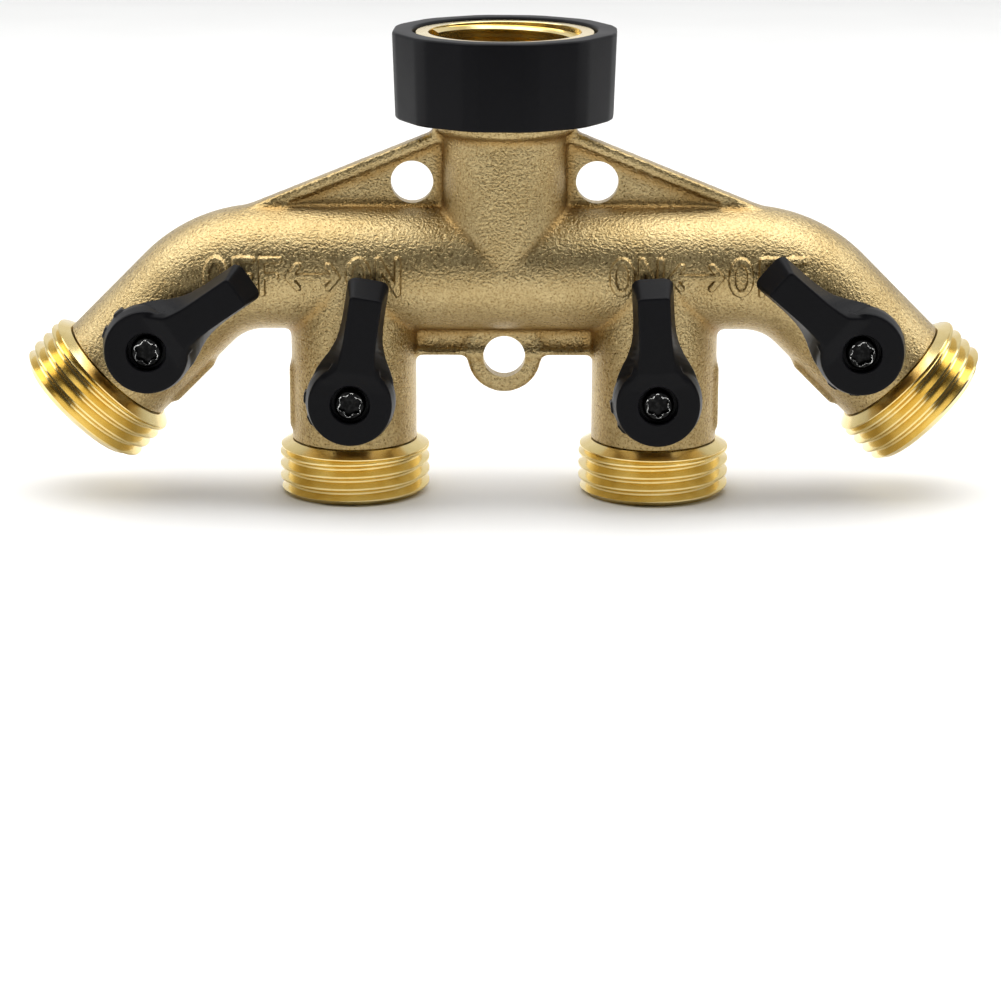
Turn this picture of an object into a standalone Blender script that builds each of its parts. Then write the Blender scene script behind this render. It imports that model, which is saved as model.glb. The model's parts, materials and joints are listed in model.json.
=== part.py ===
# Four-way brass hose splitter: one swivel inlet on top and four outlets, each with its own ball valve.
# Frame: metres, +Z up, +X along the manifold, the levers face -Y.
# The origin is on the inlet's axis, in the plane of the two inner outlets' rims.

import math

import bmesh
import bpy
from mathutils import Matrix, Vector

MM = 0.001
GAP = 0.3 * MM                     # clearance between any two separate pieces

# Manifold and branches
TUBE_RADIUS = 11.1 * MM
TUBE_BORE = 8.0 * MM
TUBE_Z = 40.9 * MM                 # height of the manifold's centre line
STRAIGHT_HALF = 42.7 * MM          # half length of the straight run
BEND_RADIUS = 18.9 * MM
BEND_ANGLE = math.radians(45)
BORE_ANGLE = math.radians(31)      # the flow bore stops short of the outer valve chambers
OUTER_LEG = 18.55 * MM             # from the end of the bend to the outer branch's end face
BRANCH_RADIUS = 11.2 * MM
INNER_X = 26.9 * MM
BRANCH_END_Z = 10.0 * MM           # end face of the inner branches
VALVE_HEIGHT = 9.85 * MM           # valve centre above a branch's end face

# Neck and inlet
NECK_RADIUS = 11.0 * MM
NECK_BORE = 6.9 * MM
SHOULDER_RADIUS = 12.65 * MM
SHOULDER_BOTTOM = 65.8 * MM
SHOULDER_TOP = 67.6 * MM
SPINDLE_RADIUS = 9.5 * MM
SPINDLE_TOP = 71.9 * MM
SEAL_GROOVE = (8.2 * MM, SHOULDER_TOP + 0.6 * MM, SHOULDER_TOP + 2.0 * MM)     # floor radius, bottom, top
RING_GROOVE = (8.6 * MM, SHOULDER_TOP + 2.3 * MM, SHOULDER_TOP + 3.8 * MM)
COLLAR_TOP = 83.1 * MM
COLLAR_RADIUS = 19.9 * MM          # at the corners
COLLAR_FACETS = 12
COLLAR_TURN = math.radians(12.7)   # first corner, counter-clockwise from +X
NUT_RADIUS = 15.9 * MM
NUT_TOP = COLLAR_TOP - 0.4 * MM
NUT_MOUTH = 1.2 * MM               # chamfer at the mouth of the inlet's socket
WASHER_THICKNESS = 3.1 * MM
HOSE_MINOR = 12.32 * MM            # 3/4 inch hose thread, female minor radius
WASHER_BORE = 7.95 * MM

# Webs and mounting holes
WEB_THICKNESS = 2.4 * MM
RIM_THICKNESS = 4.0 * MM
RIM_WIDTH = 1.9 * MM
WEB_INNER = Vector((12.65 * MM, 65.1 * MM))
WEB_OUTER = Vector((48.5 * MM, 50.6 * MM))
HOLE_RADIUS = 3.75 * MM
UPPER_HOLE = (16.35 * MM, 56.3 * MM)
LOWER_HOLE_Z = 24.8 * MM
LUG_RADIUS = 6.65 * MM
LUG_HALF = 1.6 * MM                # half thickness
LOWER_WEB_Z = 24.9 * MM

# Rear ears
EAR_X = 4.7 * MM
EAR_HEIGHT = 12.9 * MM
EAR_REACH = 15.6 * MM
EAR_BASE = 4.4 * MM
EAR_CREST = 2.6 * MM
EAR_HOLE_RADIUS = 1.75 * MM

# Valve internals
CHAMBER_RADIUS = 8.3 * MM
CHAMBER_TOP = 17.7 * MM
SOCKET_RADIUS = 9.9 * MM
SOCKET_DEPTH = 4.6 * MM
PORT_RADIUS = 5.5 * MM
PORT_TOP = 27.3 * MM
BALL_RADIUS = 7.8 * MM
BALL_BORE = 4.8 * MM
SEAT_BORE = 5.2 * MM
SEAT_BACK = 7.5 * MM               # back face of a seat, from the ball's centre
BOSS_RADIUS = 6.3 * MM
BOSS_FACE = 13.5 * MM              # front face of the valve boss, from the branch's axis
STEM_RADIUS = 3.2 * MM
STEM_HOLE = STEM_RADIUS + GAP
STEM_FLAT = 2.3 * MM
FLANGE_RADIUS = 4.6 * MM
FLANGE_POCKET = FLANGE_RADIUS + GAP
POCKET_FLOOR = 10.4 * MM

# Outlet nipples, 3/4 inch male hose thread
THREAD_CREST = 13.45 * MM
THREAD_ROOT = 12.05 * MM
THREAD_PITCH = 25.4 / 11.5 * MM
NIPPLE_BORE = 8.5 * MM
NIPPLE_LENGTH = 10.0 * MM
FIRST_CREST = 3.1 * MM             # below the branch's end face
FLANGE_CHAMFER = 1.4 * MM
FLANGE_FOOT = 1.7 * MM
O_RING_GROOVE = (0.0, 1.6 * MM)
THROAT_RADIUS = 6.0 * MM
THROAT_STEP = 1.0 * MM

# Levers
HUB_RADIUS = 7.95 * MM
HUB_FACE_RADIUS = 7.4 * MM
HUB_BACK = BOSS_FACE + GAP
HUB_FACE = 18.4 * MM
ARM_BACK = 14.6 * MM
ARM_FACE = 19.4 * MM               # the arm's face is as far forward as the collar
ARM_TIP = 22.0 * MM
ARM_FACE_TIP = 19.4 * MM
COUNTERBORE_RADIUS = 3.5 * MM
COUNTERBORE_FLOOR = 16.4 * MM
STEM_SOCKET_FLOOR = 15.6 * MM

# Stop tabs behind the hub, counter-clockwise from the arm
TAB_ANGLES = (95.0, 126.0)
TAB_REACH = 8.3 * MM

# Lever angles at rest, counter-clockwise from +X as seen from the front
LEVER_ANGLES = {"outer_left": 34.6, "inner_left": 81.0, "inner_right": 93.2, "outer_right": 139.1}

# Sides of the facetted round shapes
TUBE_SIDES = 28
BORE_SIDES = 16
NIPPLE_SIDES = 20
SMALL_SIDES = 12


def brass(name, colour, roughness):
    material = bpy.data.materials.new(name)
    material.use_nodes = True
    shader = material.node_tree.nodes["Principled BSDF"]
    shader.inputs["Base Color"].default_value = (*colour, 1.0)
    shader.inputs["Roughness"].default_value = roughness
    shader.inputs["Metallic"].default_value = 1.0
    return material


def non_metal(name, colour, roughness):
    material = brass(name, colour, roughness)
    material.node_tree.nodes["Principled BSDF"].inputs["Metallic"].default_value = 0.0
    return material


def finish_mesh(bm, name):
    """Close up, orient and shade a bmesh, and return it as a mesh."""
    bmesh.ops.remove_doubles(bm, verts=bm.verts, dist=1e-6)
    bmesh.ops.recalc_face_normals(bm, faces=bm.faces)
    mesh = bpy.data.meshes.new(name)
    bm.to_mesh(mesh)
    bm.free()
    mesh.shade_smooth()
    mesh.set_sharp_from_angle(angle=math.radians(35))
    return mesh


def add_object(name, mesh, material=None, parent=None):
    obj = bpy.data.objects.new(name, mesh)
    bpy.context.scene.collection.objects.link(obj)
    if material:
        mesh.materials.append(material)
    obj.parent = parent
    return obj


def add_frame(name, location, turn):
    """An empty at a place, turned about +Y."""
    frame = bpy.data.objects.new(name, None)
    frame.location = location
    frame.rotation_euler = (0.0, turn, 0.0)
    bpy.context.scene.collection.objects.link(frame)
    return frame


def boolean(target, tool_mesh, operation, matrix=None):
    """Add or cut away a guide solid, which stays hidden beside the finished piece."""
    guide = add_object(target.name + ".guide", tool_mesh)
    guide.hide_render = True
    guide.display_type = "WIRE"
    guide.parent = target.parent
    if matrix:
        guide.matrix_basis = matrix
    modifier = target.modifiers.new(operation.title(), "BOOLEAN")
    modifier.operation = operation
    modifier.solver = "EXACT"
    modifier.object = guide


def turned(profile, steps, closed=True, sweep=math.tau):
    """Spin a list of (radius, height) points about Z. An open profile starts and ends on the axis."""
    bm = bmesh.new()
    verts = [bm.verts.new((radius, 0.0, height)) for radius, height in profile]
    edges = [bm.edges.new(pair) for pair in zip(verts, verts[1:])]
    if closed:
        edges.append(bm.edges.new((verts[-1], verts[0])))
    full = sweep == math.tau
    if not full:
        bmesh.ops.edgeloop_fill(bm, edges=edges)
    geometry = verts + edges + list(bm.faces)
    bmesh.ops.spin(bm, geom=geometry, axis=(0, 0, 1), angle=sweep, steps=steps, use_merge=full)
    return bm


def turned_forward(profile, steps):
    """Spin (radius, reach) points about Y, with the reach measured forwards, towards -Y."""
    bm = turned(profile, steps, closed=False)
    bmesh.ops.rotate(bm, verts=bm.verts, matrix=Matrix.Rotation(math.pi / 2, 3, "X"))
    return bm


def torus(major, minor, steps, sides):
    profile = []
    for side in range(sides):
        angle = math.tau * (side + 0.5) / sides
        profile.append((major + minor * math.cos(angle), minor * math.sin(angle)))
    return turned(profile, steps)


def extruded(outline, back, front):
    """Extrude a flat (x, z) outline along Y."""
    bm = bmesh.new()
    face = bm.faces.new([bm.verts.new((x, back, z)) for x, z in outline])
    result = bmesh.ops.extrude_face_region(bm, geom=[face])
    moved = [item for item in result["geom"] if isinstance(item, bmesh.types.BMVert)]
    bmesh.ops.translate(bm, verts=moved, vec=(0.0, front - back, 0.0))
    return bm


def rod(radius, start, end, steps):
    """A straight round bar from start to end."""
    bm = bmesh.new()
    start = Vector(start)
    end = Vector(end)
    turn = (end - start).to_track_quat("Z", "Y").to_matrix().to_4x4()
    place = Matrix.Translation((start + end) / 2) @ turn
    bmesh.ops.create_cone(bm, cap_ends=True, segments=steps, radius1=radius, radius2=radius,
                          depth=(end - start).length, matrix=place)
    return bm


def box(low, high):
    bm = bmesh.new()
    low = Vector(low)
    high = Vector(high)
    place = Matrix.Translation((low + high) / 2) @ Matrix.Diagonal((high - low)).to_4x4()
    bmesh.ops.create_cube(bm, size=1.0, matrix=place)
    return bm


def swept_manifold(radius, turn, leg, steps):
    """Round bar along the manifold: the straight run, a bend at each end, and a leg past each bend."""
    bm = bmesh.new()
    place = Matrix.Translation((-STRAIGHT_HALF, 0.0, TUBE_Z)) @ Matrix.Rotation(math.pi / 2, 4, "Y")
    bmesh.ops.create_circle(bm, segments=steps, radius=radius, matrix=place)
    left_ring = list(bm.edges)
    result = bmesh.ops.extrude_edge_only(bm, edges=left_ring)
    right_ring = [item for item in result["geom"] if isinstance(item, bmesh.types.BMEdge)]
    right_verts = [item for item in result["geom"] if isinstance(item, bmesh.types.BMVert)]
    bmesh.ops.translate(bm, verts=right_verts, vec=(2 * STRAIGHT_HALF, 0.0, 0.0))
    right_ring = [edge for edge in right_ring if all(vert in right_verts for vert in edge.verts)]
    for side, ring in ((-1, left_ring), (1, right_ring)):
        centre = (side * STRAIGHT_HALF, 0.0, TUBE_Z - BEND_RADIUS)
        ring_verts = list({vert for edge in ring for vert in edge.verts})
        result = bmesh.ops.spin(bm, geom=ring_verts + ring, cent=centre, axis=(0, 1, 0),
                                angle=side * turn, steps=4)
        end_edges = [item for item in result["geom_last"] if isinstance(item, bmesh.types.BMEdge)]
        if leg > 0:
            result = bmesh.ops.extrude_edge_only(bm, edges=end_edges)
            end_verts = [item for item in result["geom"] if isinstance(item, bmesh.types.BMVert)]
            direction = Vector((side * math.cos(turn), 0.0, -math.sin(turn)))
            bmesh.ops.translate(bm, verts=end_verts, vec=direction * leg)
            end_edges = [item for item in result["geom"] if isinstance(item, bmesh.types.BMEdge)]
            end_edges = [edge for edge in end_edges if all(vert in end_verts for vert in edge.verts)]
        bmesh.ops.edgeloop_fill(bm, edges=end_edges)
    return bm


def outlet_frames():
    """One empty for each outlet, on its axis at the branch's end face, with +Z pointing upstream."""
    bend_end_x = STRAIGHT_HALF + BEND_RADIUS * math.sin(BEND_ANGLE)
    bend_end_z = TUBE_Z - BEND_RADIUS * (1 - math.cos(BEND_ANGLE))
    outer_x = bend_end_x + OUTER_LEG * math.cos(BEND_ANGLE)
    outer_z = bend_end_z - OUTER_LEG * math.sin(BEND_ANGLE)
    places = {
        "outer_left": ((-outer_x, 0.0, outer_z), BEND_ANGLE),
        "inner_left": ((-INNER_X, 0.0, BRANCH_END_Z), 0.0),
        "inner_right": ((INNER_X, 0.0, BRANCH_END_Z), 0.0),
        "outer_right": ((outer_x, 0.0, outer_z), -BEND_ANGLE),
    }
    return {name: add_frame("frame_" + name, place, turn) for name, (place, turn) in places.items()}


def frame_matrix(frame):
    return Matrix.LocRotScale(frame.location, frame.rotation_euler, None)


def valve_frames(outlets):
    """One empty for each lever, on the valve's turning axis, with +X along the lever's arm."""
    frames = {}
    for name, outlet in outlets.items():
        centre = frame_matrix(outlet) @ Vector((0.0, 0.0, VALVE_HEIGHT))
        frames[name] = add_frame("pivot_" + name, centre, -math.radians(LEVER_ANGLES[name]))
    return frames


def neck_solid():
    """Neck, shoulder ring and swivel spindle, with the grooves for the O-ring and the retaining ring."""
    profile = [
        (0.0, TUBE_Z),
        (NECK_RADIUS, TUBE_Z),
        (NECK_RADIUS, SHOULDER_BOTTOM - 1.0 * MM),
        (SHOULDER_RADIUS, SHOULDER_BOTTOM),
        (SHOULDER_RADIUS, SHOULDER_TOP),
        (SPINDLE_RADIUS, SHOULDER_TOP),
    ]
    for floor, bottom, top in (SEAL_GROOVE, RING_GROOVE):
        profile += [(SPINDLE_RADIUS, bottom), (floor, bottom), (floor, top), (SPINDLE_RADIUS, top)]
    profile += [(SPINDLE_RADIUS, SPINDLE_TOP), (0.0, SPINDLE_TOP)]
    return turned(profile, TUBE_SIDES, closed=False)


def upper_web(side):
    """Thin triangular plate between the neck and one end of the manifold."""
    outline = [
        (0.0, TUBE_Z),
        (side * 40.0 * MM, TUBE_Z),
        (side * WEB_OUTER.x, WEB_OUTER.y),
        (side * WEB_INNER.x, WEB_INNER.y),
        (side * (SHOULDER_RADIUS - 0.4 * MM), SHOULDER_BOTTOM + 0.6 * MM),
        (0.0, SHOULDER_BOTTOM + 0.6 * MM),
    ]
    return extruded(outline, -WEB_THICKNESS / 2, WEB_THICKNESS / 2)


def upper_rim(side):
    """Thick edge along the sloping side of the triangular plate."""
    along = (WEB_OUTER - WEB_INNER).normalized()
    inward = Vector((along.y, -along.x)) * RIM_WIDTH
    start = WEB_INNER - along * 3.0 * MM
    corners = [start, WEB_OUTER, WEB_OUTER + inward, start + inward]
    outline = [(side * corner.x, corner.y) for corner in corners]
    return extruded(outline, -RIM_THICKNESS / 2, RIM_THICKNESS / 2)


def ear_outline():
    """Half-round side view of a rear ear, as (reach, height) points."""
    points = [(TUBE_BORE + 1.0 * MM, -EAR_HEIGHT / 2)]
    for step in range(7):
        angle = math.radians(-90 + 180 * step / 6)
        reach = EAR_REACH - EAR_HEIGHT / 3 * (1 - math.cos(angle))
        points.append((reach, EAR_HEIGHT / 2 * math.sin(angle)))
    points.append((TUBE_BORE + 1.0 * MM, EAR_HEIGHT / 2))
    return points


def rear_ear(side):
    """Rounded ear on the back of the manifold, thinner at its crest than at its base."""
    bm = bmesh.new()
    face = bm.faces.new([bm.verts.new((-0.5, reach, TUBE_Z + height)) for reach, height in ear_outline()])
    result = bmesh.ops.extrude_face_region(bm, geom=[face])
    moved = [item for item in result["geom"] if isinstance(item, bmesh.types.BMVert)]
    bmesh.ops.translate(bm, verts=moved, vec=(1.0, 0.0, 0.0))
    for vert in bm.verts:
        along = max(0.0, (vert.co.y - TUBE_RADIUS) / (EAR_REACH - TUBE_RADIUS))
        width = EAR_BASE + (EAR_CREST - EAR_BASE) * along
        vert.co.x = side * EAR_X + vert.co.x * width
    return bm


def chamber_cutter():
    """Stepped bore of one outlet: nipple socket, ball chamber, and the port up to the manifold."""
    profile = [
        (0.0, -2.0 * MM),
        (SOCKET_RADIUS, -2.0 * MM),
        (SOCKET_RADIUS, SOCKET_DEPTH),
        (CHAMBER_RADIUS, SOCKET_DEPTH),
        (CHAMBER_RADIUS, CHAMBER_TOP),
        (PORT_RADIUS, CHAMBER_TOP),
        (PORT_RADIUS, PORT_TOP),
        (0.0, PORT_TOP),
    ]
    return turned(profile, BORE_SIDES, closed=False)


def stem_cutter():
    """Stepped hole for the stem, from the ball chamber out through the boss."""
    profile = [
        (0.0, 6.0 * MM),
        (FLANGE_POCKET, 6.0 * MM),
        (FLANGE_POCKET, POCKET_FLOOR),
        (STEM_HOLE, POCKET_FLOOR),
        (STEM_HOLE, BOSS_FACE + 1.0 * MM),
        (0.0, BOSS_FACE + 1.0 * MM),
    ]
    return turned_forward(profile, SMALL_SIDES)


def body_casting(material, outlets):
    """The one-piece casting: manifold, branches, neck, webs, bosses and ears, with every bore cut."""
    outer = swept_manifold(TUBE_RADIUS, BEND_ANGLE, OUTER_LEG, TUBE_SIDES)
    casting = add_object("body_casting", finish_mesh(outer, "body_casting"), material)
    lug = rod(LUG_RADIUS, (0, -LUG_HALF, LOWER_HOLE_Z), (0, LUG_HALF, LOWER_HOLE_Z), TUBE_SIDES)
    additions = [neck_solid(), lug]
    for side in (-1, 1):
        branch_top = (side * INNER_X, 0.0, TUBE_Z)
        additions.append(rod(BRANCH_RADIUS, (side * INNER_X, 0.0, BRANCH_END_Z), branch_top, TUBE_SIDES))
        additions.append(upper_web(side))
        additions.append(upper_rim(side))
        additions.append(rear_ear(side))
    plate = box((-INNER_X, -WEB_THICKNESS / 2, LOWER_WEB_Z + 0.2 * MM), (INNER_X, WEB_THICKNESS / 2, TUBE_Z))
    rim_half = RIM_THICKNESS / 2
    rim = box((-INNER_X, -rim_half, LOWER_WEB_Z), (INNER_X, rim_half, LOWER_WEB_Z + 1.0 * MM))
    additions += [plate, rim]
    for addition in additions:
        boolean(casting, finish_mesh(addition, "casting_addition"), "UNION")
    for outlet in outlets.values():
        centre = frame_matrix(outlet) @ Vector((0.0, 0.0, VALVE_HEIGHT))
        boss = rod(BOSS_RADIUS, centre, centre + Vector((0.0, -BOSS_FACE, 0.0)), SMALL_SIDES + 4)
        boolean(casting, finish_mesh(boss, "valve_boss"), "UNION")
    bore = swept_manifold(TUBE_BORE, BORE_ANGLE, 0.0, BORE_SIDES)
    boolean(casting, finish_mesh(bore, "manifold_bore"), "DIFFERENCE")
    neck_bore = rod(NECK_BORE, (0.0, 0.0, TUBE_Z), (0.0, 0.0, SPINDLE_TOP + 2.0 * MM), BORE_SIDES)
    boolean(casting, finish_mesh(neck_bore, "neck_bore"), "DIFFERENCE")
    hole_places = [(-UPPER_HOLE[0], UPPER_HOLE[1]), UPPER_HOLE, (0.0, LOWER_HOLE_Z)]
    for x, z in hole_places:
        hole = rod(HOLE_RADIUS, (x, -4.0 * MM, z), (x, 4.0 * MM, z), BORE_SIDES)
        boolean(casting, finish_mesh(hole, "screw_hole"), "DIFFERENCE")
    ear_hole_y = TUBE_RADIUS + 2.0 * MM
    ear_hole = rod(EAR_HOLE_RADIUS, (-9.0 * MM, ear_hole_y, TUBE_Z), (9.0 * MM, ear_hole_y, TUBE_Z), 12)
    boolean(casting, finish_mesh(ear_hole, "ear_hole"), "DIFFERENCE")
    chamber = finish_mesh(chamber_cutter(), "chamber")
    stem_hole = finish_mesh(stem_cutter(), "stem_hole")
    for outlet in outlets.values():
        place = frame_matrix(outlet)
        boolean(casting, chamber, "DIFFERENCE", place)
        boolean(casting, stem_hole, "DIFFERENCE", place @ Matrix.Translation((0.0, 0.0, VALVE_HEIGHT)))
    return casting


def nipple_mesh():
    """Outlet nipple: hose thread below the shoulder, spigot with O-ring groove and seat pocket above."""
    spigot = SOCKET_RADIUS - GAP
    groove_bottom, groove_top = O_RING_GROOVE
    seat_floor = VALVE_HEIGHT - SEAT_BACK - GAP
    flange_radius = THREAD_CREST - 0.15 * MM
    profile = [
        (CHAMBER_RADIUS, SOCKET_DEPTH - GAP),
        (spigot, SOCKET_DEPTH - GAP),
        (spigot, groove_top),
        (CHAMBER_RADIUS, groove_top),
        (CHAMBER_RADIUS, groove_bottom),
        (spigot, groove_bottom),
        (spigot, -GAP),
        (BRANCH_RADIUS + 0.1 * MM, -GAP),
        (flange_radius, -FLANGE_CHAMFER),
        (flange_radius, -FLANGE_FOOT),
    ]
    crest = -FIRST_CREST
    for turn in range(3):
        profile.append((THREAD_ROOT, crest + THREAD_PITCH / 2))
        profile.append((THREAD_CREST, crest))
        crest -= THREAD_PITCH
    profile += [
        (THREAD_ROOT, crest + THREAD_PITCH / 2),
        (THREAD_CREST - 0.5 * MM, crest + 0.2 * MM),
        (THREAD_ROOT + 0.3 * MM, -NIPPLE_LENGTH),
        (NIPPLE_BORE, -NIPPLE_LENGTH),
        (NIPPLE_BORE, -THROAT_STEP),
        (THROAT_RADIUS, THROAT_STEP),
        (THROAT_RADIUS, seat_floor),
        (CHAMBER_RADIUS, seat_floor),
    ]
    return finish_mesh(turned(profile, NIPPLE_SIDES), "outlet_nipple")


def ball_mesh():
    """Ball with its flow bore along X and a slot for the stem's tang on the front."""
    half = math.sqrt(BALL_RADIUS ** 2 - BALL_BORE ** 2)
    start = math.atan2(half, BALL_BORE)
    profile = [(BALL_BORE, -half)]
    arc_steps = 6
    for step in range(1, arc_steps):
        angle = -start + 2 * start * step / arc_steps
        profile.append((BALL_RADIUS * math.cos(angle), BALL_RADIUS * math.sin(angle)))
    profile.append((BALL_BORE, half))
    bm = turned(profile, BORE_SIDES)
    bmesh.ops.rotate(bm, verts=bm.verts, matrix=Matrix.Rotation(math.pi / 2, 3, "Y"))
    return finish_mesh(bm, "valve_ball")


def seat_mesh():
    """Ring seat, hollowed to the ball on its lower side, measured from the ball's centre."""
    contact = BALL_RADIUS + GAP
    rim = 7.2 * MM
    profile = [(SEAT_BORE, SEAT_BACK), (CHAMBER_RADIUS - GAP, SEAT_BACK)]
    profile.append((CHAMBER_RADIUS - GAP, math.sqrt(contact ** 2 - rim ** 2)))
    arc_steps = 2
    for step in range(arc_steps + 1):
        radius = rim + (SEAT_BORE - rim) * step / arc_steps
        profile.append((radius, math.sqrt(contact ** 2 - radius ** 2)))
    return finish_mesh(turned(profile, BORE_SIDES), "ball_seat")


def stem_mesh():
    """Stem: flange inside the casting, O-ring groove, and a shaft up to the lever."""
    profile = [
        (0.0, BALL_RADIUS + GAP),
        (FLANGE_RADIUS, BALL_RADIUS + GAP),
        (FLANGE_RADIUS, 9.3 * MM),
        (STEM_RADIUS, 9.3 * MM),
        (STEM_RADIUS, 10.7 * MM),
        (1.85 * MM, 10.7 * MM),
        (1.85 * MM, 12.1 * MM),
        (STEM_RADIUS, 12.1 * MM),
        (STEM_RADIUS, 15.3 * MM),
        (1.8 * MM, 15.3 * MM),
        (1.8 * MM, 12.6 * MM),
        (0.0, 12.6 * MM),
    ]
    return finish_mesh(turned_forward(profile, SMALL_SIDES), "valve_stem")


def flat_cutter(side, flat, start, end):
    """Box that cuts one flat on a round shaft along Y."""
    wide = 6.0 * MM
    low = (min(side * flat, side * wide), -end, -wide)
    high = (max(side * flat, side * wide), -start, wide)
    return finish_mesh(box(low, high), "stem_flat")


def valve_stem(name, material, pivot):
    stem = add_object(name, stem_mesh(), material, pivot)
    tang = box((-1.0 * MM, -BALL_RADIUS - 0.8 * MM, -3.2 * MM), (1.0 * MM, -6.1 * MM, 3.2 * MM))
    boolean(stem, finish_mesh(tang, "stem_tang"), "UNION")
    for side in (-1, 1):
        boolean(stem, flat_cutter(side, STEM_FLAT, 13.1 * MM, 16.0 * MM), "DIFFERENCE")
    return stem


def valve_ball(name, material, pivot):
    ball = add_object(name, ball_mesh(), material, pivot)
    slot = box((-1.3 * MM, -9.0 * MM, -3.5 * MM), (1.3 * MM, -5.8 * MM, 3.5 * MM))
    boolean(ball, finish_mesh(slot, "stem_slot"), "DIFFERENCE")
    return ball


def arm_outline(half_widths):
    """Arm outline from (x, half width) points, mirrored about the arm's centre line."""
    upper = [(x, half) for x, half in half_widths]
    lower = [(x, -half) for x, half in reversed(half_widths)]
    return upper + lower


def arm_solid():
    """Lever arm: a wide back outline joined to a narrower, shorter front face."""
    corner = 1.0 * MM
    back_half = 3.7 * MM
    face_half = 2.8 * MM
    back = arm_outline([
        (3.0 * MM, 6.4 * MM),
        (6.5 * MM, 5.4 * MM),
        (9.5 * MM, 4.4 * MM),
        (12.5 * MM, 3.9 * MM),
        (ARM_TIP - corner, back_half),
        (ARM_TIP, back_half - corner),
    ])
    face = arm_outline([
        (5.6 * MM, 4.0 * MM),
        (7.0 * MM, 3.6 * MM),
        (9.5 * MM, 3.1 * MM),
        (12.5 * MM, 2.9 * MM),
        (ARM_FACE_TIP - 0.4 * MM, face_half),
        (ARM_FACE_TIP, face_half - 0.4 * MM),
    ])
    bm = bmesh.new()
    rings = []
    for outline, reach in ((back, ARM_BACK), (face, ARM_FACE)):
        cap = bm.faces.new([bm.verts.new((x, -reach, z)) for x, z in outline])
        rings += list(cap.edges)
    bmesh.ops.bridge_loops(bm, edges=rings)
    return bm


def lever_handle(name, material, pivot):
    """Moulded lever: round hub over the stem, raised arm, screw counterbore and stop tab."""
    hub = turned_forward([
        (0.0, HUB_BACK),
        (HUB_RADIUS, HUB_BACK),
        (HUB_FACE_RADIUS + 0.1 * MM, HUB_FACE - 0.4 * MM),
        (HUB_FACE_RADIUS - 0.3 * MM, HUB_FACE),
        (0.0, HUB_FACE),
    ], TUBE_SIDES)
    handle = add_object(name, finish_mesh(hub, "lever_handle"), material, pivot)
    boolean(handle, finish_mesh(arm_solid(), "lever_arm"), "UNION")
    for angle in TAB_ANGLES:
        tab = box((6.8 * MM, -15.0 * MM, -1.0 * MM), (TAB_REACH, -12.1 * MM, 1.0 * MM))
        boolean(handle, finish_mesh(tab, "stop_tab"), "UNION", Matrix.Rotation(math.radians(-angle), 4, "Y"))
    counterbore = rod(COUNTERBORE_RADIUS, (0, -COUNTERBORE_FLOOR, 0), (0, -ARM_FACE - MM, 0), BORE_SIDES)
    boolean(handle, finish_mesh(counterbore, "counterbore"), "DIFFERENCE")
    screw_hole = rod(1.8 * MM, (0, -HUB_BACK, 0), (0, -COUNTERBORE_FLOOR - MM, 0), SMALL_SIDES)
    boolean(handle, finish_mesh(screw_hole, "screw_hole"), "DIFFERENCE")
    socket = rod(STEM_HOLE, (0, -HUB_BACK + MM, 0), (0, -STEM_SOCKET_FLOOR, 0), SMALL_SIDES)
    flat = STEM_FLAT + GAP
    flats = box((-flat, -STEM_SOCKET_FLOOR - MM, -5 * MM), (flat, -HUB_BACK + 2 * MM, 5 * MM))
    shaped = add_object(name + ".socket", finish_mesh(socket, "stem_socket"), None, pivot)
    boolean(shaped, finish_mesh(flats, "socket_flats"), "INTERSECT")
    shaped.hide_render = True
    shaped.display_type = "WIRE"
    cut = handle.modifiers.new("Socket", "BOOLEAN")
    cut.operation = "DIFFERENCE"
    cut.solver = "EXACT"
    cut.object = shaped
    return handle


def star_outline(inner, outer, lobes):
    points = []
    for step in range(lobes * 2):
        angle = math.pi * step / lobes
        radius = outer if step % 2 else inner
        points.append((radius * math.cos(angle), radius * math.sin(angle)))
    return points


def lever_screw(name, material, pivot):
    """Pan-head screw with a six-lobe recess, sunk in the lever's counterbore."""
    profile = [
        (0.0, 12.9 * MM),
        (1.5 * MM, 12.9 * MM),
        (1.5 * MM, 16.7 * MM),
        (2.7 * MM, 16.7 * MM),
        (2.7 * MM, 17.7 * MM),
        (2.2 * MM, 18.2 * MM),
        (0.0, 18.2 * MM),
    ]
    screw_mesh = finish_mesh(turned_forward(profile, SMALL_SIDES), "lever_screw")
    screw = add_object(name, screw_mesh, material, pivot)
    recess = extruded(star_outline(1.0 * MM, 1.5 * MM, 6), -19.0 * MM, -17.1 * MM)
    boolean(screw, finish_mesh(recess, "six_lobe_recess"), "DIFFERENCE")
    return screw


def swivel_nut_mesh():
    """Brass nut inside the grip: captive lip at the bottom, hose thread socket above."""
    lip_bottom = SHOULDER_TOP + GAP
    lip_top = RING_GROOVE[1]
    profile = [
        (SPINDLE_RADIUS + GAP, lip_bottom),
        (NUT_RADIUS, lip_bottom),
        (NUT_RADIUS, NUT_TOP - 0.4 * MM),
        (NUT_RADIUS - 0.4 * MM, NUT_TOP),
        (HOSE_MINOR + NUT_MOUTH, NUT_TOP),
        (HOSE_MINOR, NUT_TOP - NUT_MOUTH),
        (HOSE_MINOR, lip_top),
        (SPINDLE_RADIUS + GAP, lip_top),
    ]
    return finish_mesh(turned(profile, TUBE_SIDES), "swivel_nut")


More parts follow.
